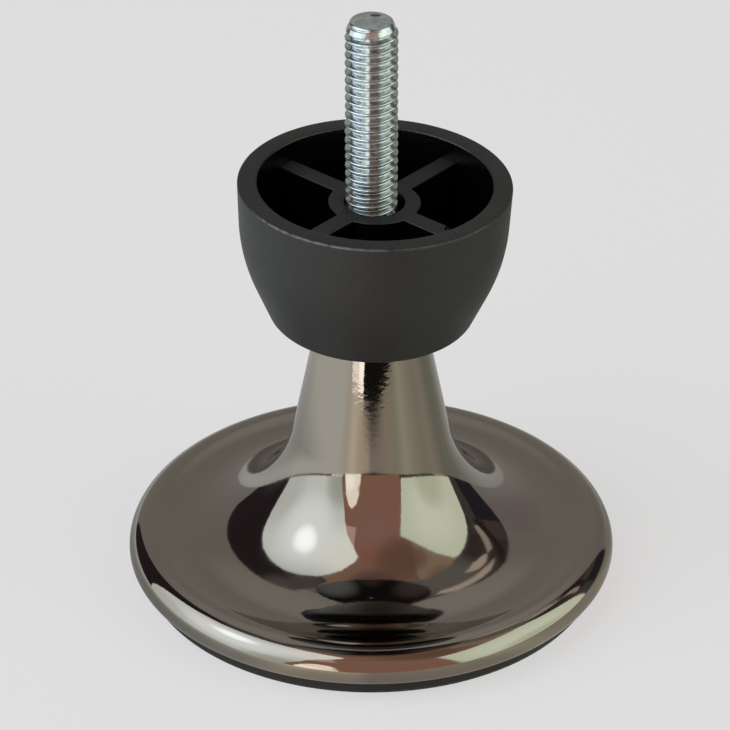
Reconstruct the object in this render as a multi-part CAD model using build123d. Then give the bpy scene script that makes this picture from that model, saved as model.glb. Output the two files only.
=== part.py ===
from build123d import *
from math import asin, atan2, cos, degrees, radians, sin, sqrt, tan
import os

# Bed glide: a bell of drawn sheet steel on a moulded floor insert, with a bolt as its stem
# and a loose moulded cup that the end of the bed's leg stands in.
# Millimetres, +Z up. The origin is on the glide's axis at the floor, and the front is -Y.

# Stem bolt, 5/16 in with 18 threads to the inch, 2 in long under a hexagon head
inch = 25.4
thread_r = 5 / 16 * inch / 2  # over the crests of the thread
pitch = inch / 18
crest_flat = pitch / 8
root_flat = pitch / 4
flank_angle = 30.0  # of the thread's two flanks, each from square across the bolt
shank_r = 3.51  # plain, at the rolled thread's pitch radius
bolt_length = 2 * inch
free_thread = 29.6  # what stands clear of the cup
tip_chamfer = 0.9
head_flats = 12.4
head_height = 5.3
head_chamfer = 0.4  # of the hexagon's corners
washer_face = 0.4
washer_step = 0.1  # the washer face is this much smaller than the flats
head_corner_r = head_flats / 2 / cos(radians(30))

# Bell, one drawn sheet from the bolt's hole to the rolled lip
wall = 1.0
base_r = 76.2 / 2
neck_top = 45.3
neck_taper = 11.3  # degrees from upright
neck_corner = 1.4
head_clearance = 0.1  # between the head's corners and the neck around them
hole_clearance = 0.35
flare_r = 22.5  # the long hollow curve from the neck to the dish
valley_r = 10.6  # the shallow groove inside the bead
valley_z = 7.6
bead_r = 3.9
bead_z = 4.3
lip_r = 1.6  # where the rim rolls under
lip_turn_in = 0.4

# Floor insert, moulded, held up in the bell by the rolled lip
lip_clearance = 0.15
insert_plate = 3.0
insert_corner = 0.8
snap_edge = 0.35  # how far the edge above the lip reaches over it
snap_height = 1.2
foot_ring = 9.0  # width of the flat ring that meets the floor
recess_depth = 1.2
bearing_ring = 3.0
bearing_clearance = 0.05
rib_count = 8
rib_thickness = 1.6
rib_drop = 0.4
post_foot_r = 8.5
post_core_r = 3.0
post_cap = 3.0

# Cup, moulded, loose on the neck around the stem
cup_height = 22.8
cup_rim_r = 20.66
cup_foot_r = 15.25
cup_wall = 3.0
cup_floor = 3.0
cup_draft = 2.6  # degrees from upright, above the knee
cup_flank = 23.7  # degrees from upright, below it
cup_knee_r = 28.0
cup_corner = 2.0
cup_inner_corner = 1.5
rim_edge = 0.4
hub_r = 7.0
hub_height = 19.5
bore_clearance = 0.55  # around the stem
web_count = 4
web_thickness = 3.0
web_angle = 50.0  # of the first one, from +X
nick_r = 0.75  # the small chip at the outer end of the front right web
nick_depth = 0.6
lean_gap = 0.07  # what is left of the bore's clearance where the cup leans on the stem
seat_gap = 0.02

plate_z = neck_top - wall
tip_z = plate_z + bolt_length
head_bottom = plate_z - head_height
bead = (base_r - bead_r, bead_z)
lip = (base_r - lip_r, bead_z)
lip_bottom = bead_z - lip_r
lip_edge_r = base_r - lip_r - lip_turn_in
insert_r = lip_edge_r - lip_clearance


def along(centre, radius, angle):
    return (centre[0] + radius * cos(radians(angle)), centre[1] + radius * sin(radians(angle)))


def arc(centre, radius, start, end):
    return CenterArc(centre, radius, start, end - start)


# The groove's circle touches the bead's from outside, with its lowest point at valley_z.
valley_up = valley_z + valley_r - bead_z
valley = (bead[0] - sqrt((valley_r + bead_r) ** 2 - valley_up**2), valley_z + valley_r)
bead_start = degrees(atan2(valley_up, valley[0] - bead[0]))

# The neck is a straight cone whose inside clears the head's corners under the plate. The flare's
# circle touches that cone and holds the groove's circle, so its centre is on a line beside the
# cone, at flare_r - valley_r from the groove's centre.
cone_out = (cos(radians(neck_taper)), sin(radians(neck_taper)))
cone_down = (cone_out[1], -cone_out[0])
cone_top = (head_corner_r + head_clearance + wall * cone_out[0], plate_z + wall * cone_out[1])
beside = (cone_top[0] + flare_r * cone_out[0], cone_top[1] + flare_r * cone_out[1])
to_valley = (valley[0] - beside[0], valley[1] - beside[1])
down = to_valley[0] * cone_down[0] + to_valley[1] * cone_down[1]
across = to_valley[0] * cone_out[0] + to_valley[1] * cone_out[1]
down -= sqrt((flare_r - valley_r) ** 2 - across**2)
flare = (beside[0] + down * cone_down[0], beside[1] + down * cone_down[1])
flare_end = 180 + degrees(atan2(flare[1] - valley[1], flare[0] - valley[0]))

# The corner between neck and plate
corner_z = neck_top - neck_corner
corner_side = cone_top[0] + (cone_top[1] - corner_z) * tan(radians(neck_taper))
neck_flat_r = corner_side - neck_corner / cone_out[0]
corner = (neck_flat_r, corner_z)


# The sheet's line from the bolt's hole to the lip's edge, at a depth below its outer face
def sheet_line(depth):
    hole = (thread_r + hole_clearance, neck_top - depth)
    neck_start = along(corner, neck_corner - depth, neck_taper)
    neck_end = along(flare, flare_r + depth, 180 + neck_taper)
    lip_end = along(lip, lip_r - depth, -90)
    return [
        Line(hole, (corner[0], neck_top - depth)),
        arc(corner, neck_corner - depth, 90, neck_taper),
        Line(neck_start, neck_end),
        arc(flare, flare_r + depth, 180 + neck_taper, flare_end),
        arc(valley, valley_r + depth, flare_end, 180 + bead_start),
        arc(bead, bead_r - depth, bead_start, 0),
        arc(lip, lip_r - depth, 0, -90),
        Line(lip_end, (lip_edge_r, lip_end[1])),
    ]


def turned(edges):
    return revolve(Plane.XZ * make_face(edges), axis=Axis.Z)


def ring(outer, inner, low, high):
    tube = Cylinder(outer, high - low, align=(Align.CENTER, Align.CENTER, Align.MIN))
    if inner > 0:
        tube -= Cylinder(inner, high - low, align=(Align.CENTER, Align.CENTER, Align.MIN))
    return Pos(0, 0, low) * tube


# Upright plates around the axis, from it to a radius
def star(count, reach, thickness, low, high, first=0.0):
    plate = Box(reach, thickness, high - low, align=(Align.MIN, Align.CENTER, Align.MIN))
    plates = [Rot(0, 0, first + step * 360 / count) * plate for step in range(count)]
    return Pos(0, 0, low) * (Part() + plates)


def base_shell():
    outer = sheet_line(0)
    inner = sheet_line(wall)
    ends = [Line(outer[0] @ 0, inner[0] @ 0), Line(outer[-1] @ 1, inner[-1] @ 1)]
    return turned(outer + inner + ends)


# The post props up the bolt's head, and the bearing ring stands under the bell's groove.
def floor_insert():
    foot_in_r = insert_r - insert_corner - foot_ring
    snap_z = lip_bottom + wall + bearing_clearance
    post_top_r = head_flats / 2
    outline = [
        (0, recess_depth),
        (foot_in_r, recess_depth),
        (foot_in_r, 0),
        (insert_r, 0),
        (insert_r, snap_z),
        (insert_r + snap_edge + lip_clearance, snap_z),
        (insert_r, snap_z + snap_height),
        (insert_r - insert_plate, snap_z + snap_height),
        (insert_r - insert_plate, insert_plate + recess_depth),
        (post_foot_r, insert_plate + recess_depth),
        (post_top_r, head_bottom),
        (0, head_bottom),
    ]
    body = turned(Polyline(*outline, close=True).edges())
    foot_edge = body.edges().group_by(Axis.Z)[0].filter_by(GeomType.CIRCLE).sort_by(SortBy.RADIUS)[-1]
    body = fillet(foot_edge, insert_corner)
    bearing_top = valley_z - wall - bearing_clearance
    ring_out = valley[0] + bearing_ring / 2
    body += ring(ring_out, ring_out - bearing_ring, recess_depth, bearing_top)
    body += star(rib_count, ring_out - bearing_ring / 2, rib_thickness, recess_depth, bearing_top - rib_drop)
    return body - ring(post_core_r, 0, 0, head_bottom - post_cap)


# The free end of the bolt. Its thread stands as rings a pitch apart, from the chamfer downwards.
def threaded_end():
    flank = (pitch - crest_flat - root_flat) / 2
    root_r = thread_r - flank / tan(radians(flank_angle))
    first_crest = tip_z - tip_chamfer
    last_root = tip_z - free_thread
    turns = int((first_crest - last_root) / pitch)
    outline = [(0, last_root), (0, tip_z), (thread_r - tip_chamfer, tip_z), (thread_r, first_crest)]
    for turn in range(turns):
        crest_end = first_crest - turn * pitch - crest_flat
        outline += [
            (thread_r, crest_end),
            (root_r, crest_end - flank),
            (root_r, crest_end - flank - root_flat),
            (thread_r, crest_end - pitch + crest_flat),
        ]
    outline.append((thread_r, last_root))
    return turned(Polyline(*outline, close=True).edges())


# A cone that touches the hexagon's corners at the chamfer's height trims them round.
def bolt_head():
    hexagon = RegularPolygon(head_flats / 2, 6, major_radius=False)
    head = Pos(0, 0, head_bottom) * extrude(hexagon, head_height - washer_face)
    slope = tan(radians(60))
    cone = Cone(head_flats / 2, head_flats / 2 + head_height * slope, head_height,
                align=(Align.CENTER, Align.CENTER, Align.MIN))
    cone_low = head_bottom + head_chamfer - (head_corner_r - head_flats / 2) / slope
    head &= Pos(0, 0, cone_low) * cone
    return head + ring(head_flats / 2 - washer_step, 0, plate_z - washer_face, plate_z)


def stem_bolt():
    return bolt_head() + ring(shank_r, 0, plate_z, tip_z - free_thread) + threaded_end()


# A turned body inside the cup's outer face, at a depth from it, between two heights
def bowl(depth, low, high, corner_radius):
    flank = tan(radians(cup_flank))
    draft = tan(radians(cup_draft))
    foot = cup_foot_r - depth / cos(radians(cup_flank))
    rim = cup_rim_r - depth / cos(radians(cup_draft))
    knee_z = (rim - draft * cup_height - foot) / (flank - draft)
    knee = (foot + flank * knee_z, knee_z)
    low_edge = (foot + flank * low, low)
    outline = make_face(Polyline(
        (0, low), low_edge, knee, (rim - draft * (cup_height - high), high), (0, high), close=True))
    at_knee = outline.vertices().sort_by_distance(knee)[0]
    outline = fillet(at_knee, cup_knee_r - depth)
    if corner_radius > 0:
        outline = fillet(outline.vertices().sort_by_distance(low_edge)[0], corner_radius)
    return revolve(Plane.XZ * outline, axis=Axis.Z)


def cup_upright():
    body = bowl(0, 0, cup_height, cup_corner)
    hollow = bowl(cup_wall, cup_floor, cup_height, cup_inner_corner)
    webs = star(web_count, cup_rim_r, web_thickness, cup_floor, hub_height, web_angle)
    body -= hollow
    body = fillet(body.edges().group_by(Axis.Z)[-1], rim_edge)
    body += webs & bowl(cup_wall / 2, 0, cup_height, 0)
    body += ring(hub_r, 0, 0, hub_height)
    nick_at = along((0, 0), cup_rim_r - cup_wall - nick_r, web_angle - 360 / web_count)
    body -= Pos(nick_at[0], nick_at[1], 0) * ring(nick_r, 0, hub_height - nick_depth, hub_height)
    return body - ring(thread_r + bore_clearance, 0, 0, cup_height)


# The loose cup leans to the right until the top of its bore meets the stem, and then stands
# on the right-hand edge of the neck's flat top.
def spacer_cup():
    lean = asin((bore_clearance - lean_gap) / hub_height)
    lift = neck_flat_r * sin(lean) + seat_gap
    return Pos(0, 0, neck_top + lift) * Rot(0, degrees(lean), 0) * cup_upright()


parts = {
    "base_shell": base_shell(),
    "floor_insert": floor_insert(),
    "stem_bolt": stem_bolt(),
    "spacer_cup": spacer_cup(),
}

os.makedirs("parts", exist_ok=True)
for name, shape in parts.items():
    export_step(shape, f"parts/{name}.step")
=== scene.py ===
import bpy
import math
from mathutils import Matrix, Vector


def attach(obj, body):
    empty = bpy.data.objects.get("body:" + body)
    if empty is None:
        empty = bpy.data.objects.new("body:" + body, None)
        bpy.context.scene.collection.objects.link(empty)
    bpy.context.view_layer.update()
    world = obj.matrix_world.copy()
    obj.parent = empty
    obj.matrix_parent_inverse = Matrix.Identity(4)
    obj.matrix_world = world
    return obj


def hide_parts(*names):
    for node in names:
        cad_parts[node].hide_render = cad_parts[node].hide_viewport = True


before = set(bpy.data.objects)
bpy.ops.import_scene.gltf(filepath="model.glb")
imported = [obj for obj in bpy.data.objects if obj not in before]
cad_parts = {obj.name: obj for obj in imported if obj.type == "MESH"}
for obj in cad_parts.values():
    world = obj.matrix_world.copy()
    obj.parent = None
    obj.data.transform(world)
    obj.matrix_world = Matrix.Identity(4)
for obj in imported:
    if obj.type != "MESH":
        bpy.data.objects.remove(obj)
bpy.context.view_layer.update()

mm = 0.001
weld = 0.0005 * mm       # points closer than this are one
print("frame loaded:", sorted(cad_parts))


# Helpers for selecting and shaping

def deselectAll():
    if bpy.context.mode != "OBJECT":
        bpy.ops.object.mode_set(mode="OBJECT")
    bpy.ops.object.select_all(action="DESELECT")


def pick(piece):
    deselectAll()
    piece.select_set(True)
    bpy.context.view_layer.objects.active = piece


def arcPoints(centre, radius, start, end, count):
    steps = [math.radians(start + (end - start) * step / count) for step in range(count + 1)]
    return [(centre[0] + radius * math.cos(turn), centre[1] + radius * math.sin(turn)) for turn in steps]


# A line drawn point by point in the XZ plane, as (radius, height) in mm
def drawnLine(name, line):
    deselectAll()
    bpy.ops.mesh.primitive_plane_add(size=mm, location=(line[0][0] * mm, 0, line[0][1] * mm))
    piece = bpy.context.object
    piece.name = name
    bpy.ops.object.transform_apply(location=True, rotation=True, scale=True)
    bpy.ops.object.mode_set(mode="EDIT")
    bpy.ops.mesh.merge(type="CENTER")
    for last, point in zip(line, line[1:]):
        step = ((point[0] - last[0]) * mm, 0, (point[1] - last[1]) * mm)
        bpy.ops.mesh.extrude_vertices_move(TRANSFORM_OT_translate={"value": step})
    bpy.ops.mesh.select_all(action="SELECT")
    return piece


# A section spun about the glide's axis
def turnedForm(name, section, steps):
    piece = drawnLine(name, section)
    bpy.ops.mesh.spin(steps=steps, angle=2 * math.pi, center=(0, 0, 0), axis=(0, 0, 1))
    bpy.ops.mesh.select_all(action="SELECT")
    bpy.ops.mesh.remove_doubles(threshold=weld)
    bpy.ops.mesh.normals_make_consistent(inside=False)
    bpy.ops.object.mode_set(mode="OBJECT")
    return piece


def applyModifier(piece, kind, **settings):
    pick(piece)
    modifier = piece.modifiers.new(kind.lower(), kind)
    for key, value in settings.items():
        setattr(modifier, key, value)
    bpy.ops.object.modifier_apply(modifier=modifier.name)


# Puts a piece's turn and place into its mesh
def settle(piece):
    pick(piece)
    bpy.ops.object.transform_apply(location=True, rotation=True, scale=True)


# Joins or cuts with a second shape, which is then deleted
def combine(piece, other, operation):
    applyModifier(piece, "BOOLEAN", operation=operation, object=other, solver="EXACT")
    pick(other)
    bpy.ops.object.delete()


def smoothByAngle(piece, degrees):
    pick(piece)
    bpy.ops.object.shade_smooth_by_angle(angle=math.radians(degrees))


# Helpers for materials

def linear(hexColour):
    parts = [int(hexColour[place:place + 2], 16) / 255 for place in (1, 3, 5)]
    return [part / 12.92 if part <= 0.04045 else ((part + 0.055) / 1.055) ** 2.4 for part in parts] + [1.0]


# Adds one node; settings are set by attribute, socket name or socket number, and links feed its sockets.
# A setting may be a socket too, where a colour is sometimes fixed and sometimes comes from a node.
def addNode(tree, kind, settings=None, links=None):
    node = tree.nodes.new("ShaderNode" + kind)
    for key, value in (settings or {}).items():
        if isinstance(value, bpy.types.NodeSocket):
            tree.links.new(value, node.inputs[key])
        elif isinstance(key, str) and hasattr(node, key):
            setattr(node, key, value)
        else:
            node.inputs[key].default_value = value
    for key, source in (links or {}).items():
        tree.links.new(source, node.inputs[key])
    return node


def newMaterial(name):
    material = bpy.data.materials.new(name)
    material.use_nodes = True
    material.node_tree.nodes.clear()
    return material, material.node_tree


def finishWith(piece, material):
    piece.data.materials.clear()
    piece.data.materials.append(material)


# Bell: drawn sheet steel, the same section as the solid, spun fine enough for a mirror finish

bell = {
    "neckTop": 45.3,
    "wall": 1.0,
    "holeRadius": 4.319,
    "taper": 11.3,           # degrees from upright
    "corner": (6.9312, 43.9, 1.4),   # this and the next four: radius, height and bend
    "flare": (34.2095, 29.3576, 22.5),
    "groove": (30.072, 18.2, 10.6),
    "bead": (34.2, 4.3, 3.9),
    "lip": (36.5, 4.3, 1.6),
    "lipEdge": 36.1,
    "fineness": 3,           # how much finer the outside is than the inside
    "spinSteps": 288,
    "smoothUpTo": 40,
    "tint": "#9c978e",       # what the plating gives back of white light
}


# The sheet's line from the hole in the neck's top to the lip, at a depth inside its outer face
def sheetLine(depth, fineness):
    cornerR, cornerZ, cornerBend = bell["corner"]
    flareR, flareZ, flareBend = bell["flare"]
    grooveR, grooveZ, grooveBend = bell["groove"]
    beadR, beadZ, beadBend = bell["bead"]
    lipR, lipZ, lipBend = bell["lip"]
    flareEnd = 180 + math.degrees(math.atan2(flareZ - grooveZ, flareR - grooveR))
    beadStart = math.degrees(math.atan2(grooveZ - beadZ, grooveR - beadR))
    line = [(bell["holeRadius"], bell["neckTop"] - depth)]
    line += arcPoints((cornerR, cornerZ), cornerBend - depth, 90, bell["taper"], 8 * fineness)
    flare = arcPoints((flareR, flareZ), flareBend + depth, 180 + bell["taper"], flareEnd, 20 * fineness)
    neckStart, neckEnd = line[-1], flare[0]
    rows = 6 * fineness
    for row in range(1, rows):
        share = row / rows
        line.append(tuple(neckStart[axis] * (1 - share) + neckEnd[axis] * share for axis in (0, 1)))
    line += flare
    line += arcPoints((grooveR, grooveZ), grooveBend + depth, flareEnd, 180 + beadStart, 8 * fineness)[1:]
    line += arcPoints((beadR, beadZ), beadBend - depth, beadStart, 0, 14 * fineness)[1:]
    line += arcPoints((lipR, lipZ), lipBend - depth, 0, -90, 7 * fineness)[1:]
    line.append((bell["lipEdge"], lipZ - lipBend + depth))
    return line


def makeBell():
    outside = sheetLine(0, bell["fineness"])
    inside = sheetLine(bell["wall"], 1)
    section = outside + inside[::-1] + outside[:1]
    shell = turnedForm("bellShell", section, bell["spinSteps"])
    smoothByAngle(shell, bell["smoothUpTo"])
    return shell


bellShell = makeBell()
print("bell spun:", len(bellShell.data.polygons), "faces")


# Stem: a hexagon-headed bolt with a rolled thread, in the place of the solid

stem = {
    "crest": 3.96,
    "root": 3.2,
    "pitch": 25.4 / 18,
    "crestFlat": 0.24,
    "rootFlat": 0.30,
    "crestBend": 0.19,
    "rootBend": 0.16,
    "threadStart": 62.0,     # inside the cup's bore
    "tip": 95.1,
    "overrun": 0.37,         # thread past the tip, cut back with it
    "tipFlat": 3.05,
    "tipRise": 0.12,         # the dome that the rolling left on the tip
    "tipBreak": (0.15, 0.12),    # the broken corner between its flat and its taper
    "tipTaper": 1.75,
    "tipStart": 0.1,         # how far inside the crests the taper starts
    "tipRunOut": 1.9,        # where it has left the crests, in tapers
    "shank": 3.51,
    "overlap": 0.5,          # of the shank and the thread
    "headFlats": 12.4,
    "headBottom": 39.0,
    "headTrim": 1.2,
    "headRound": 0.1,        # how far inside its flats the head's round faces end
    "plate": 44.3,
    "washerFace": 0.4,
    "mark": (0.6, 1.6, 0.95),    # where the blank was cut off, and half its width
    "markShape": 1.8,        # how much wider the mark is than deep
    "steps": 72,
    "smoothUpTo": 32,
}


# One pitch of the rolled thread from root to root, as (radius, height), its corners rounded
def threadLine():
    crest, root, pitch = stem["crest"], stem["root"], stem["pitch"]
    rootBend, crestBend = stem["rootBend"], stem["crestBend"]
    bendShare = math.tan(math.radians(30))    # each bend turns through 60 degrees, onto a flank
    flankStart = stem["rootFlat"] / 2
    crestStart = (pitch - stem["crestFlat"]) / 2
    low = arcPoints((flankStart - rootBend * bendShare, root + rootBend), rootBend, -90, -30, 3)
    high = arcPoints((crestStart + crestBend * bendShare, crest - crestBend), crestBend, 150, 90, 3)
    rising = [(0, root)] + low + high
    line = rising + [(pitch - height, radius) for height, radius in rising[::-1]]
    return [(radius, height) for height, radius in line]


def makeThread():
    turns = math.ceil((stem["tip"] - stem["threadStart"]) / stem["pitch"]) + 3
    low = stem["threadStart"] - 1.5 * stem["pitch"]
    thread = drawnLine("stemBolt", [(radius, low + height) for radius, height in threadLine()])
    bpy.ops.object.mode_set(mode="OBJECT")
    applyModifier(thread, "SCREW", screw_offset=stem["pitch"] * mm, iterations=turns,
                  steps=stem["steps"], render_steps=stem["steps"], use_merge_vertices=True,
                  merge_threshold=2 * weld)
    bpy.ops.object.mode_set(mode="EDIT")
    bpy.ops.mesh.select_all(action="SELECT")
    bpy.ops.mesh.remove_doubles(threshold=2 * weld)
    for height, upward in ((stem["tip"] + stem["overrun"], 1), (stem["threadStart"], -1)):
        bpy.ops.mesh.select_all(action="SELECT")
        bpy.ops.mesh.bisect(plane_co=(0, 0, height * mm), plane_no=(0, 0, upward), use_fill=True,
                            clear_outer=True, threshold=2 * weld)
    bpy.ops.mesh.select_all(action="SELECT")
    bpy.ops.mesh.normals_make_consistent(inside=False)
    bpy.ops.object.mode_set(mode="OBJECT")
    return thread


# The room that the tapered and slightly domed tip fills
def tipSection():
    tip, flat, rise = stem["tip"], stem["tipFlat"], stem["tipRise"]
    outside, low = stem["crest"] + 1, stem["threadStart"] - 1
    breakOut, breakDown = stem["tipBreak"]
    return [(0, low), (outside, low), (outside, tip - stem["tipRunOut"] * stem["tipTaper"]),
            (stem["crest"] - stem["tipStart"], tip - stem["tipTaper"]),
            (flat + breakOut, tip - rise - breakDown), (flat, tip - rise),
            (flat * 0.7, tip - rise * 0.45), (flat * 0.35, tip - rise * 0.1), (0, tip - 0.005)]


# The plain shank, and the round washer face under it, which reaches into the head
def shankSection():
    washer = stem["headFlats"] / 2 - stem["headRound"]
    low, top = stem["headBottom"] + 1, stem["threadStart"] + stem["overlap"]
    return [(0, low), (washer, low), (washer, stem["plate"]), (stem["shank"], stem["plate"]),
            (stem["shank"], top), (0, top)]


def makeHead():
    across, low = stem["headFlats"] / 2, stem["headBottom"]
    height = stem["plate"] - stem["washerFace"] - low
    deselectAll()
    bpy.ops.mesh.primitive_cylinder_add(vertices=6, radius=across / math.cos(math.pi / 6) * mm,
                                        depth=height * mm, location=(0, 0, (low + height / 2) * mm),
                                        rotation=(0, 0, math.pi / 6))
    head = bpy.context.object
    settle(head)
    top = stem["plate"] + 1
    trim = [(0, low), (across - stem["headRound"], low), (across + 2, low + stem["headTrim"]),
            (across + 2, top), (0, top)]
    combine(head, turnedForm("headTrim", trim, stem["steps"]), "INTERSECT")
    return head


def makeStem():
    thread = makeThread()
    combine(thread, turnedForm("tipEnvelope", tipSection(), stem["steps"]), "INTERSECT")
    combine(thread, turnedForm("shankBlank", shankSection(), stem["steps"]), "UNION")
    combine(thread, makeHead(), "UNION")
    pick(thread)
    bpy.ops.object.mode_set(mode="EDIT")
    bpy.ops.mesh.select_all(action="SELECT")
    bpy.ops.mesh.remove_doubles(threshold=weld)
    bpy.ops.mesh.fill_holes(sides=4)
    bpy.ops.object.mode_set(mode="OBJECT")
    smoothByAngle(thread, stem["smoothUpTo"])
    return thread


stemBolt = makeStem()
print("stem threaded:", len(stemBolt.data.polygons), "faces")


# Cup: moulded, one turned section with its hub, then four webs, a chip and its lean

cup = {
    "height": 22.8,
    "rim": 20.66,
    "foot": 15.25,
    "wall": 3.0,
    "floor": 3.0,
    "draft": 2.6,            # degrees from upright, above the knee
    "flank": 23.7,           # and below it
    "knee": 28.0,
    "cornerBend": 2.0,
    "innerBend": 1.5,
    "rimEdge": 0.4,
    "hub": 7.0,
    "hubFoot": 0.4,          # the slope where the hub meets the floor
    "hubHeight": 19.5,
    "hubEdge": 0.25,
    "bore": 4.519,
    "webs": 4,
    "webThickness": 3.0,
    "webAngle": 50.0,
    "webEdge": 0.22,
    "webSink": 0.5,          # how far a web reaches into the floor
    "chip": 0.75,
    "chipAlong": 13.6,       # along the front right web, where it goes behind the rim
    "chipBeside": 1.0,
    "lean": math.asin(0.48 / 19.5),  # the bore's play at the hub's top, to the right
    "standsOn": bell["corner"][0],   # the neck's flat top, out to its corner
    "seatGap": 0.02,
    "spinSteps": 256,
    "smoothUpTo": 35,
}


# The bowl's side at a depth inside its outer face, from the foot to the rim
def cupSide(depth, low, high, bend, count):
    flank, draft = math.radians(cup["flank"]), math.radians(cup["draft"])
    foot = cup["foot"] - depth / math.cos(flank)
    rim = cup["rim"] - depth / math.cos(draft) - math.tan(draft) * cup["height"]
    kneeZ = (rim - foot) / (math.tan(flank) - math.tan(draft))
    kneeR = foot + math.tan(flank) * kneeZ
    radius = cup["knee"] - depth
    reach = radius * math.tan((flank - draft) / 2)
    start = (kneeR - reach * math.sin(flank), kneeZ - reach * math.cos(flank))
    centre = (start[0] - radius * math.cos(flank), start[1] + radius * math.sin(flank))
    lowR = foot + math.tan(flank) * low
    cut = bend * math.tan((math.pi / 2 - flank) / 2)
    bendCentre = (lowR - cut, low + bend)
    side = arcPoints(bendCentre, bend, -90, -cup["flank"], 8)
    side += arcPoints(centre, radius, -cup["flank"], -cup["draft"], count)
    side.append((rim + math.tan(draft) * high, high))
    return side


# How high the cup's foot sits, its lean raising its middle off the neck's flat top
def cupSeat():
    return bell["neckTop"] + cup["standsOn"] * math.sin(cup["lean"]) + cup["seatGap"]


# Where the chip is, on the web to the front right, on the cup's own axis
def chipPlace():
    turn = math.radians(cup["webAngle"] - 360 / cup["webs"])
    along, beside = cup["chipAlong"], cup["chipBeside"]
    return Vector((along * math.cos(turn) - beside * math.sin(turn),
                   along * math.sin(turn) + beside * math.cos(turn), cup["hubHeight"])) * mm


def bowlSection():
    edge, hubEdge, top = cup["rimEdge"], cup["hubEdge"], cup["height"]
    hub, hubTop, bore = cup["hub"], cup["hubHeight"] - cup["hubEdge"], cup["bore"]
    outer = cupSide(0, 0, top - edge, cup["cornerBend"], 24)
    inner = cupSide(cup["wall"], cup["floor"], top - edge, cup["innerBend"], 16)
    section = [(bore, 0)] + outer
    section += arcPoints((outer[-1][0] - edge, top - edge), edge, 0, 90, 5)[1:]
    section += arcPoints((inner[-1][0] + edge, top - edge), edge, 90, 180, 5)[:-1]
    section += inner[::-1]
    section += [(hub + cup["hubFoot"], cup["floor"]), (hub, cup["floor"] + cup["hubFoot"])]
    section += arcPoints((hub - hubEdge, hubTop), hubEdge, 0, 90, 4)
    section += arcPoints((bore + hubEdge, hubTop), hubEdge, 90, 180, 4)
    return section + [(bore, 0)]


# One web from the hub to the middle of the wall, its two top edges rounded, turned to its place
def makeWeb(turn):
    inside, outside = (cup["bore"] + cup["hub"]) / 2, cup["rim"] - cup["wall"] / 2
    low, high = cup["floor"] - cup["webSink"], cup["hubHeight"]
    middle = ((inside + outside) / 2 * mm, 0, (low + high) / 2 * mm)
    deselectAll()
    bpy.ops.mesh.primitive_cube_add(size=1, location=middle)
    web = bpy.context.object
    web.scale = ((outside - inside) * mm, cup["webThickness"] * mm, (high - low) * mm)
    settle(web)
    bpy.ops.object.mode_set(mode="EDIT")
    bpy.ops.mesh.select_mode(type="EDGE")
    bpy.ops.mesh.select_all(action="DESELECT")
    bpy.ops.object.mode_set(mode="OBJECT")
    for side in web.data.edges:
        start, end = [web.data.vertices[corner].co for corner in side.vertices]
        side.select = min(start.z, end.z) > (high - 0.01) * mm and abs(start.y - end.y) < 2 * weld
    bpy.ops.object.mode_set(mode="EDIT")
    bpy.ops.mesh.bevel(offset=cup["webEdge"] * mm, segments=3)
    bpy.ops.mesh.select_mode(type="VERT")
    bpy.ops.object.mode_set(mode="OBJECT")
    wall = cupSide(cup["wall"] / 2, low, high + 1, 0.5, 12)
    combine(web, turnedForm("webBlank", [(0, low)] + wall + [(0, high + 1)], 96), "INTERSECT")
    web.rotation_euler = (0, 0, turn)
    settle(web)
    return web


def makeCup():
    bowl = turnedForm("spacerCup", bowlSection(), cup["spinSteps"])
    for step in range(cup["webs"]):
        web = makeWeb(math.radians(cup["webAngle"] + step * 360 / cup["webs"]))
        combine(bowl, web, "UNION")
    deselectAll()
    bpy.ops.mesh.primitive_uv_sphere_add(segments=24, ring_count=12, radius=cup["chip"] * mm,
                                         location=chipPlace())
    chipTool = bpy.context.object
    settle(chipTool)
    combine(bowl, chipTool, "DIFFERENCE")
    bowl.rotation_euler = (0, cup["lean"], 0)
    bowl.location = (0, 0, cupSeat() * mm)
    settle(bowl)
    smoothByAngle(bowl, cup["smoothUpTo"])
    return bowl


spacerCup = makeCup()
print("cup moulded:", len(spacerCup.data.polygons), "faces")


# Black nickel: a thin smoked-grey bright plating on polished sheet, a near mirror with a warm tint.
# Its orange peel is fine, and stronger on the neck, where the sheet was drawn furthest.
def blackNickel():
    material, tree = newMaterial("blackNickelPlate")
    place = addNode(tree, "TexCoord")
    onPiece = {"Vector": place.outputs["Object"]}
    peel = addNode(tree, "TexNoise", {"Scale": 1 / (0.8 * mm), "Detail": 2.0}, onPiece)
    haze = addNode(tree, "TexNoise", {"Scale": 1 / (14 * mm), "Detail": 3.0}, onPiece)
    gloss = addNode(tree, "MapRange",
                    {"From Min": 0.35, "From Max": 0.7, "To Min": 0.045, "To Max": 0.09},
                    {"Value": haze.outputs["Fac"]})
    height = addNode(tree, "SeparateXYZ", links=onPiece)
    drawn = addNode(tree, "MapRange",
                    {"From Min": 24 * mm, "From Max": 38 * mm, "To Min": 0.14, "To Max": 0.42},
                    {"Value": height.outputs["Z"]})
    bump = addNode(tree, "Bump", {"Distance": 0.02 * mm},
                   {"Height": peel.outputs["Fac"], "Strength": drawn.outputs["Result"]})
    shader = addNode(tree, "BsdfPrincipled", {"Base Color": linear(bell["tint"]), "Metallic": 1.0},
                     {"Roughness": gloss.outputs["Result"], "Normal": bump.outputs["Normal"]})
    addNode(tree, "OutputMaterial", links={"Surface": shader.outputs["BSDF"]})
    return material


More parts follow.
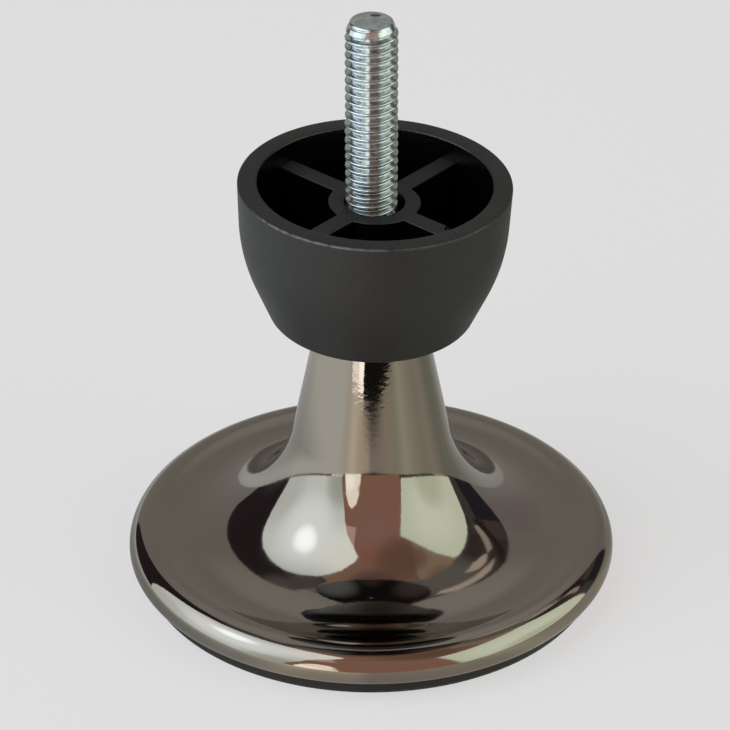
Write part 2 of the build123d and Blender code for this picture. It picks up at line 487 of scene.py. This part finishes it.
# Zinc: bright passivated plating on a rolled thread, bluish silver and crisp, with a faint clouding.
# The passivation is slightly milky, so the plating isn't wholly metallic. An oval on the tip, where the
# blank was cut off, is a darker brownish grey.
def brightZinc():
    material, tree = newMaterial("brightZincPlate")
    place = addNode(tree, "TexCoord")
    cloud = addNode(tree, "TexNoise", {"Scale": 1 / (0.9 * mm), "Detail": 3.0},
                    {"Vector": place.outputs["Object"]})
    tint = addNode(tree, "ValToRGB", links={"Fac": cloud.outputs["Fac"]})
    for element, position, colour in zip(tint.color_ramp.elements, (0.3, 0.7), ("#b0bec2", "#d9e4e6")):
        element.position = position
        element.color = linear(colour)
    gloss = addNode(tree, "MapRange",
                    {"From Min": 0.3, "From Max": 0.7, "To Min": 0.12, "To Max": 0.2},
                    {"Value": cloud.outputs["Fac"]})
    bump = addNode(tree, "Bump", {"Strength": 0.12, "Distance": 0.02 * mm},
                   {"Height": cloud.outputs["Fac"]})
    markX, markY, markReach = stem["mark"]
    centre = Vector((markX, markY * stem["markShape"], stem["tip"])) * mm
    drawnOut = addNode(tree, "VectorMath", {"operation": "MULTIPLY", 1: (1, stem["markShape"], 1)},
                       {0: place.outputs["Object"]})
    markGap = addNode(tree, "VectorMath", {"operation": "DISTANCE", 1: centre},
                      {0: drawnOut.outputs["Vector"]})
    mark = addNode(tree, "MapRange", {"From Min": markReach * mm, "From Max": 0.7 * markReach * mm},
                   {"Value": markGap.outputs["Value"]})
    plate = addNode(tree, "Mix", {"data_type": "RGBA", 7: linear("#5c5450")},
                    {0: mark.outputs["Result"], 6: tint.outputs["Color"]})
    shader = addNode(tree, "BsdfPrincipled", {"Metallic": 0.91},
                     {"Base Color": plate.outputs[2], "Roughness": gloss.outputs["Result"],
                      "Normal": bump.outputs["Normal"]})
    addNode(tree, "OutputMaterial", links={"Surface": shader.outputs["BSDF"]})
    return material


# Scuffs along the outer edge of the cup's rim, most at the front left. Each pair is where they start and
# where they are full, in mm, and the last is in the noise that breaks them up.
scuffs = {
    "fromSide": (0.3, 0.14),
    "fromTop": (0.4, 0.2),
    "forward": (8, 14),
    "leftward": (-3, 4),
    "atRight": 0.3,          # their share at the right
    "patches": (0.36, 0.6),
}


# A range's two ends in metres, each so many mm short of an edge
def shortOf(edge, ends):
    return [(edge - end) * mm for end in ends]


# Two places on the cup, as shares from 0 to 1: where it is scuffed, and where it is polished and painted
# near black as shade, inside the bowl and in the chip's hollow. The polish and painted shade inside are on
# what lies within the middle of the bowl's wall, but not where it looks up.
def cupZones(tree, place):
    own = addNode(tree, "Mapping", {"vector_type": "TEXTURE", "Location": (0, 0, cupSeat() * mm),
                                    "Rotation": (0, cup["lean"], 0)}, {"Vector": place.outputs["Object"]})
    level = addNode(tree, "VectorMath", {"operation": "MULTIPLY", 1: (1, 1, 0)}, {0: own.outputs["Vector"]})
    length = addNode(tree, "VectorMath", {"operation": "LENGTH"}, {0: level.outputs["Vector"]})
    radius = length.outputs["Value"]
    parts = addNode(tree, "SeparateXYZ", links={"Vector": own.outputs["Vector"]})
    across, deep, height = parts.outputs
    facing = addNode(tree, "SeparateXYZ", links={"Vector": place.outputs["Normal"]})
    scuff = addNode(tree, "TexNoise", {"Scale": 1 / (1.4 * mm), "Detail": 4.0},
                    {"Vector": place.outputs["Object"]})
    chipGap = addNode(tree, "VectorMath", {"operation": "DISTANCE", 1: chipPlace()},
                      {0: own.outputs["Vector"]})
    ranges = {
        "side": (radius, *shortOf(cup["rim"], scuffs["fromSide"]), 0, 1),
        "top": (height, *shortOf(cup["height"], scuffs["fromTop"]), 0, 1),
        "front": (deep, *shortOf(0, scuffs["forward"]), 0, 1),
        "left": (across, *shortOf(0, scuffs["leftward"]), scuffs["atRight"], 1),
        "patches": (scuff.outputs["Fac"], *scuffs["patches"], 0, 1),
        "wall": (height, 0, 9 * mm, (cup["foot"] - cup["wall"] / 2) * mm, (cup["rim"] - 2.6) * mm),
        "steep": (facing.outputs["Z"], 0.8, 0.4, 0, 1),
        "chipShade": (chipGap.outputs["Value"], *shortOf(cup["chip"], (-0.1, -0.04)), 0, 1),
    }
    shares = {}
    for name, (source, start, full, least, most) in ranges.items():
        reach = addNode(tree, "MapRange",
                        {"From Min": start, "From Max": full, "To Min": least, "To Max": most},
                        {"Value": source})
        shares[name] = reach.outputs["Result"]
    wear = shares["side"]
    for name in ("top", "front", "left", "patches"):
        product = addNode(tree, "Math", {"operation": "MULTIPLY"}, {0: wear, 1: shares[name]})
        wear = product.outputs["Value"]
    within = addNode(tree, "Math", {"operation": "LESS_THAN"}, {0: radius, 1: shares["wall"]})
    insidePolishAndShade = addNode(tree, "Math", {"operation": "MULTIPLY"},
                       {0: within.outputs["Value"], 1: shares["steep"]})
    # Polished, and painted near black as shade: inside the bowl and in the chip's hollow
    shadeAndPolish = addNode(tree, "Math", {"operation": "MAXIMUM"},
                   {0: insidePolishAndShade.outputs["Value"], 1: shares["chipShade"]})
    return wear, shadeAndPolish.outputs["Value"]


# Black polypropylene: moulded with a fine spark-eroded grain, which spreads its sheen to a satin, and
# against a polished core inside, where painted shade makes it near black. The grain is as coarse as it
# needs to show.
def mouldedBlack(name, colour, zones=None):
    material, tree = newMaterial(name)
    place = addNode(tree, "TexCoord")
    onPiece = {"Vector": place.outputs["Object"]}
    grain = addNode(tree, "TexNoise", {"Scale": 1 / (0.35 * mm), "Detail": 2.0}, onPiece)
    flow = addNode(tree, "TexNoise", {"Scale": 1 / (11 * mm), "Detail": 4.0}, onPiece)
    gloss = addNode(tree, "MapRange",
                    {"From Min": 0.3, "From Max": 0.7, "To Min": 0.44, "To Max": 0.56},
                    {"Value": flow.outputs["Fac"]})
    bump = addNode(tree, "Bump", {"Strength": 1.0, "Distance": 0.08 * mm}, {"Height": grain.outputs["Fac"]})
    shader = addNode(tree, "BsdfPrincipled", {"Base Color": linear(colour), "IOR": 1.49},
                     {"Roughness": gloss.outputs["Result"], "Normal": bump.outputs["Normal"]})
    if zones:
        wear, shadeAndPolish = zones(tree, place)
        scuffed = addNode(tree, "ValToRGB", links={"Fac": wear})
        scuffed.color_ramp.elements[0].color = linear(colour)
        scuffed.color_ramp.elements[1].color = linear("#70706d")
        # Painted shade: the inside of the bowl and the chip's hollow are mixed to near black
        shade = addNode(tree, "Mix", {"data_type": "RGBA", 7: linear("#070707")},
                        {0: shadeAndPolish, 6: scuffed.outputs["Color"]})
        smooth = addNode(tree, "Mix", {3: 0.16}, {0: shadeAndPolish, 2: gloss.outputs["Result"]})
        tree.links.new(shade.outputs[2], shader.inputs["Base Color"])
        tree.links.new(smooth.outputs[0], shader.inputs["Roughness"])
    addNode(tree, "OutputMaterial", links={"Surface": shader.outputs["BSDF"]})
    return material


plating, zinc = blackNickel(), brightZinc()
cupBlack = mouldedBlack("blackPolypropylene", "#202324", cupZones)
insertBlack = mouldedBlack("blackPolyethylene", "#1f2021")
finishWith(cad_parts["floor_insert"], insertBlack)

for piece, node, slot, material in ((bellShell, "base_shell", "plated_bell", plating),
                                    (stemBolt, "stem_bolt", "zinc_bolt", zinc),
                                    (spacerCup, "spacer_cup", "moulded_cup", cupBlack)):
    finishWith(piece, material)
    finishWith(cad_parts[node], material)
    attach(piece, "root")
    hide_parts(node)
print("materials set")


# The photo's own viewpoint

camera = {
    "place": (-0.00096, -0.50553, 0.34399),
    "down": 31.332,          # degrees below level
    "lens": 189.92,
    "sensor": 36.0,
}

# Studio: a pale floor, with soft boxes and flats around the glide, each drawn by its corners as
# directions (azimuth, elevation). Azimuth 0 is behind the glide, 90 to its right, 180 at the camera.
# A colour here is the one that the plating should show, and a flat with a shorter reach is in front.
# A spot on a flat is given by azimuth, elevation, spread in degrees and colour.

studio = {
    "distance": 1.6,         # of a flat with a reach of 1, in metres
    "power": 4.0,
    "cuts": 5,               # how finely a flat follows its sphere
    "floorSize": 12.0,
    "floorColour": "#8c8c8c",
    "floorGlow": "#c6c6c7",
    "backdrop": "#dddddd",
    "backdropRadius": 7.0,
    "room": "#574c45",       # what fills the gaps between the flats
    "roomSeenAt": (0, 85),
}

flats = {
    "leftBox": {"seen": "#b2b3ab", "reach": 1.0, "corners": [
        (-141, -3), (-142, 0), (-145, 10), (-148, 20), (-150, 30), (-153, 40), (-160, 50), (-164, 57),
        (-161, 60), (-152, 63), (-140, 66), (-120, 67), (-105, 66), (-90, 62), (-80, 57), (-73, 50),
        (-68, 40), (-66, 30), (-66, 10), (-67, -3)],
        "spots": [(-150, 52, 24, "#c8c5b9"), (-143, 0, 26, "#8f8f82"), (-70, 2, 30, "#a5a59e"),
                  (-84, 60, 16, "#a5a7a0"), (-109, 34, 32, "#cbcbc5"), (-107, 40, 12, "#f6f6f4")]},
    "creamStrip": {"seen": "#d7c8b6", "reach": 1.04, "corners": [
        (-168, -16), (-145, -16), (-145, -8), (-149, 10), (-153, 18), (-157, 21), (-162, 18), (-165, 10),
        (-167, -8)],
        "spots": [(-152, 0, 10, "#e4dacd"), (-163, -10, 7, "#fff4e4"), (-167, 6, 5, "#a58c7d")]},
    "pinkPatch": {"seen": "#967d70", "reach": 1.06, "corners": [
        (-163, 35), (-150, 33), (-152, 48), (-160, 49)]},
    "front": {"seen": "#715142", "reach": 1.2, "corners": [
        (112, 32), (128, -8), (140, -16), (212, -16), (226, 20), (226, 62), (254, 62), (254, 78),
        (200, 80), (150, 80), (130, 80), (112, 78)],
        "spots": [(176, 40, 30, "#705246"), (176, 66, 24, "#6e4b3b"), (140, 58, 24, "#553e30"),
                  (222, 70, 22, "#695041"), (176, 78, 14, "#493730")]},
    "cameraGap": {"seen": "#0c0c09", "reach": 1.1, "corners": [
        (120, -18), (193, -18), (193, -5), (150, -5), (120, -7)]},
    # Painted reflection of the cup: a dark card around the zenith, which widens the cup's dark lens in the
    # dish
    "cupReflectionCard": {"seen": "#0c0a09", "reach": 1.08, "corners":
        [(-180, 75), (-155, 74.4), (-130, 73.5), (-105, 72.2), (-84, 71), (-70, 74.5), (-56, 79), (-28, 83),
         (0, 84), (25, 82.5), (44, 77), (58, 73), (70, 71), (86, 70.5), (105, 72), (130, 73), (155, 74.2),
         (180, 75)]
        + [(azimuth, 89.5) for azimuth in range(180, -181, -15)],
        "spots": [(-112, 74, 12, "#42423e"), (100, 73, 11, "#2e2622"), (180, 75, 7, "#241a16")]},
    "darkLeft": {"seen": "#1c1617", "reach": 1.1, "corners": [
        (-75, -8), (-35, -8), (-35, 10), (-38, 20), (-42, 30), (-47, 40), (-52, 50), (-57, 60), (-62, 66),
        (-85, 71), (-110, 71), (-110, 64), (-86, 50), (-75, 20)],
        "spots": [(-56, 64, 12, "#443e3a"), (-84, 68, 12, "#3c3733"), (-52, -6, 14, "#282420")]},
    "back": {"seen": "#5d5850", "reach": 1.17, "corners": [
        (-72, -20), (-30, -20), (0, -20), (48, -20), (48, 45), (52, 55), (58, 65), (56, 78), (0, 79),
        (-72, 78)],
        "spots": [(28, 62, 26, "#6c655d"), (-30, 62, 26, "#68625a"), (12, 10, 16, "#655f57"),
                  (34, 16, 16, "#5c534e"), (30, -18, 15, "#a39e92"), (-35, -18, 15, "#a39e92")]},
    "rightBox": {"seen": "#aeaf98", "reach": 1.0, "corners": [
        (72, -3), (141, -2), (143, 10), (144.5, 20), (146, 30), (147, 40.5), (137, 43), (125, 46),
        (115, 48), (105, 49.5), (88, 49.5), (84, 47), (80, 40), (76, 30), (74, 20), (73, 10)],
        "spots": [(110, 20, 30, "#b8b9a2"), (105, 0, 24, "#a1a18a")]},
    "rightDome": {"seen": "#6e5c4b", "reach": 1.05, "corners": [
        (84, 46), (90, 58), (97, 66), (107, 69), (117, 66), (125, 60), (134, 47), (128, 42)],
        "spots": [(90, 62, 9, "#5f4b3a"), (130, 56, 12, "#5a4435")]},
    "farRight": {"seen": "#2a2421", "reach": 1.13, "corners": [
        (46, -14), (100, -14), (114, 20), (114, 76), (58, 76), (58, 65), (51, 55), (47, 45)],
        "spots": [(78, 60, 16, "#4e4842"), (100, 72, 16, "#4e4842")]},
    "darkBlock": {"seen": "#1c1a1c", "reach": 1.1, "corners": [(47, -9), (64, -9), (64, 21), (47, 21)]},
    "darkPatch": {"seen": "#372d2a", "reach": 1.1, "corners": [(48, 20), (59, 20), (59, 32), (48, 32)]},
    "darkPost": {"seen": "#322f2a", "reach": 1.1, "corners": [(64, -9), (72, -9), (72, 31), (64, 31)]},
    "darkBand": {"seen": "#1e1614", "reach": 1.05, "corners": [
        (46, 44), (48, 40), (64, 21), (68, 22), (50, 45)]},
    "shardHigh": {"seen": "#8c7e6e", "reach": 1.06, "corners": [
        (57, 63), (63, 70), (68, 68), (62, 58), (59, 50), (55, 43), (53, 50)]},
    "shardMiddle": {"seen": "#8c7e6e", "reach": 1.07, "corners": [
        (60, 47), (63, 52), (71, 56), (70, 50), (64, 43), (61, 42)]},
    "shardLow": {"seen": "#7d6c62", "reach": 1.06, "corners": [
        (58, 38), (61, 42), (64, 36), (69, 26), (65, 25), (60, 33)]},
    "underRight": {"seen": "#3c3430", "reach": 1.03, "corners": [
        (70, -14), (128, -14), (143, -6), (143, -1), (70, -1)],
        "spots": [(85, -6, 12, "#7d7869"), (114, -6, 5, "#4b464b")]},
    "underLeftFront": {"seen": "#b9a59e", "reach": 1.03, "corners": [
        (-142, -12), (-127, -12), (-127, -3), (-142, -3)]},
    "underLeft": {"seen": "#4b3e37", "reach": 1.05, "corners": [
        (-142, -14), (-64, -14), (-64, -2), (-142, -2)]},
}

# The paper under the glide as the neck shows it, its light painted in round by azimuth, with painted
# shadows on it given by azimuth, distance and spread, and its edge by azimuth and distance (distances in
# metres)
paper = {
    "round": [(-175, "#8c7d6e"), (-163, "#94866f"), (-155, "#a59684"), (-145, "#928878"), (-135, "#969287"),
              (-75, "#969287"), (-57, "#8c8a82"), (-30, "#8c8a82"), (0, "#828078"), (36, "#79766f"),
              (59, "#5d5b50"), (75, "#5c584d"), (92, "#70685a"), (106, "#6c6558"), (120, "#766d5f"),
              (133, "#807a68"), (145, "#716b5a"), (155, "#746a5a"), (165, "#72665a"), (180, "#70645c")],
    # Painted shadows: the glide's own, close at its left, and a dark wedge at the front
    "paintedShadows": [(178, 0.226, 0.075, "#3a342e"), (-90, 0.03, 0.1, "#56544f")],
    "edge": [(-180, 0.222), (-169, 0.224), (-168, 0.236), (-147, 0.236), (-145, 0.27)]
            + [(azimuth, 0.27) for azimuth in range(-120, 121, 30)]
            + [(134, 0.27), (140, 0.258), (150, 0.246), (162, 0.232), (170, 0.222)],
    "seenAt": -11,           # the elevation at which the neck shows it
}


def direction(azimuth, elevation):
    turn, rise = math.radians(azimuth), math.radians(elevation)
    return Vector((math.sin(turn) * math.cos(rise), math.cos(turn) * math.cos(rise), math.sin(rise)))


# What a flat in a direction must give off for the plating to show the wanted colour
def glowFor(seen, azimuth, elevation):
    meeting = math.cos(direction(azimuth, elevation).angle(direction(180, camera["down"])) / 2)
    graze = (1 - meeting) ** 5    # every metal is brighter at a grazing angle
    parts = zip(linear(seen)[:3], linear(bell["tint"])[:3])
    return [wanted / (tint + (1 - tint) * graze) / studio["power"] for wanted, tint in parts] + [1.0]


def flatMaterial(name, flat):
    material, tree = newMaterial(name)
    middle = [sum(corner[axis] for corner in flat["corners"]) / len(flat["corners"]) for axis in (0, 1)]
    colour = glowFor(flat["seen"], *middle)
    place = addNode(tree, "TexCoord")
    way = addNode(tree, "VectorMath", {"operation": "NORMALIZE"}, {0: place.outputs["Object"]})
    for azimuth, elevation, spread, seen in flat.get("spots", []):
        near = addNode(tree, "VectorMath", {"operation": "DOT_PRODUCT", 1: direction(azimuth, elevation)},
                       {0: way.outputs["Vector"]})
        share = addNode(tree, "MapRange", {"interpolation_type": "SMOOTHSTEP", "From Max": 1.0,
                                           "From Min": math.cos(math.radians(spread))},
                        {"Value": near.outputs["Value"]})
        blend = addNode(tree, "Mix",
                        {"data_type": "RGBA", 6: colour, 7: glowFor(seen, azimuth, elevation)},
                        {0: share.outputs["Result"]})
        colour = blend.outputs[2]
    glow = addNode(tree, "Emission", {"Color": colour, "Strength": studio["power"]})
    addNode(tree, "OutputMaterial", links={"Surface": glow.outputs["Emission"]})
    return material


def makeFlat(name, flat):
    deselectAll()
    bpy.ops.mesh.primitive_circle_add(vertices=len(flat["corners"]), fill_type="NGON")
    card = bpy.context.object
    card.name = name
    for vertex, corner in zip(card.data.vertices, flat["corners"]):
        vertex.co = (*corner, 0)
    bpy.ops.object.mode_set(mode="EDIT")
    bpy.ops.mesh.select_all(action="SELECT")
    bpy.ops.mesh.quads_convert_to_tris(ngon_method="BEAUTY")
    bpy.ops.mesh.subdivide(number_cuts=studio["cuts"])
    bpy.ops.object.mode_set(mode="OBJECT")
    for vertex in card.data.vertices:
        vertex.co = direction(vertex.co.x, vertex.co.y) * studio["distance"] * flat["reach"]
    card.visible_camera = False
    finishWith(card, flatMaterial(name + "Light", flat))


# The glow of the paper sheet: the paper's light by azimuth, painted in, and its painted shadows
def paperMaterial():
    material, tree = newMaterial("paperSeen")
    place = addNode(tree, "TexCoord")
    around = addNode(tree, "TexGradient", {"gradient_type": "RADIAL"}, {"Vector": place.outputs["Object"]})
    ramp = addNode(tree, "ValToRGB", links={"Fac": around.outputs["Fac"]})
    stops = sorted((((90 - azimuth) / 360 + 0.5) % 1.0, azimuth, seen) for azimuth, seen in paper["round"])
    while len(ramp.color_ramp.elements) < len(stops):
        ramp.color_ramp.elements.new(0.5)
    for element, (position, azimuth, seen) in zip(ramp.color_ramp.elements, stops):
        element.position = position
        element.color = glowFor(seen, azimuth, paper["seenAt"])
    colour = ramp.outputs["Color"]
    # Each painted shadow darkens the paper's glow around its place
    for azimuth, distance, spread, seen in paper["paintedShadows"]:
        gap = addNode(tree, "VectorMath", {"operation": "DISTANCE", 1: direction(azimuth, 0) * distance},
                      {0: place.outputs["Object"]})
        share = addNode(tree, "MapRange",
                        {"interpolation_type": "SMOOTHSTEP", "From Min": spread, "From Max": 0.0},
                        {"Value": gap.outputs["Value"]})
        blend = addNode(tree, "Mix",
                        {"data_type": "RGBA", 6: colour, 7: glowFor(seen, azimuth, paper["seenAt"])},
                        {0: share.outputs["Result"]})
        colour = blend.outputs[2]
    glow = addNode(tree, "Emission", {"Color": colour, "Strength": studio["power"]})
    addNode(tree, "OutputMaterial", links={"Surface": glow.outputs["Emission"]})
    return material


def makeFloor():
    deselectAll()
    bpy.ops.mesh.primitive_plane_add(size=studio["floorSize"])
    floor = bpy.context.object
    floor.name = "studioFloor"
    floor.visible_glossy = False    # the plating shows the sheet below in its place
    material, tree = newMaterial("palePaper")
    shader = addNode(tree, "BsdfPrincipled", {
        "Base Color": linear(studio["floorColour"]), "Roughness": 0.9, "Specular IOR Level": 0.0,
        "Emission Color": linear(studio["floorGlow"]), "Emission Strength": 1.0})
    addNode(tree, "OutputMaterial", links={"Surface": shader.outputs["BSDF"]})
    finishWith(floor, material)
    return floor


# The paper as reflections show it, out to where the flats begin. It glows with the paper's painted light
# and shadows, though it lights nothing.
def makeSheet():
    deselectAll()
    bpy.ops.mesh.primitive_circle_add(vertices=len(paper["edge"]), fill_type="NGON")
    sheet = bpy.context.object
    sheet.name = "paperInReflections"
    for vertex, (azimuth, distance) in zip(sheet.data.vertices, paper["edge"]):
        vertex.co = direction(azimuth, 0) * distance
    sheet.visible_camera = False
    sheet.visible_diffuse = False
    sheet.visible_shadow = False
    finishWith(sheet, paperMaterial())
    return sheet


# A plain pale room behind the floor's edge, for low views
def makeBackdrop():
    deselectAll()
    bpy.ops.mesh.primitive_uv_sphere_add(radius=studio["backdropRadius"])
    backdrop = bpy.context.object
    backdrop.name = "backdrop"
    backdrop.visible_diffuse = False
    backdrop.visible_glossy = False
    backdrop.visible_shadow = False
    material, tree = newMaterial("paleBackdrop")
    glow = addNode(tree, "Emission", {"Color": linear(studio["backdrop"]), "Strength": 1.0})
    addNode(tree, "OutputMaterial", links={"Surface": glow.outputs["Emission"]})
    finishWith(backdrop, material)
    return backdrop


def lightRoom():
    world = bpy.data.worlds.new("studioRoom")
    world.use_nodes = True
    tree = world.node_tree
    tree.nodes.clear()
    air = addNode(tree, "Background", {"Color": glowFor(studio["room"], *studio["roomSeenAt"]),
                                       "Strength": studio["power"]})
    addNode(tree, "OutputWorld", links={"Surface": air.outputs["Background"]})
    bpy.context.scene.world = world
    bpy.context.scene.view_settings.view_transform = "Standard"


for piece in (makeFloor(), makeSheet(), makeBackdrop()):
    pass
for name, flat in flats.items():
    makeFlat(name, flat)
lightRoom()

bpy.ops.object.camera_add(location=camera["place"], rotation=(math.radians(90 - camera["down"]), 0, 0))
viewer = bpy.context.object
viewer.data.lens = camera["lens"]
viewer.data.sensor_width = camera["sensor"]
bpy.context.scene.camera = viewer
print("studio lit and camera set")
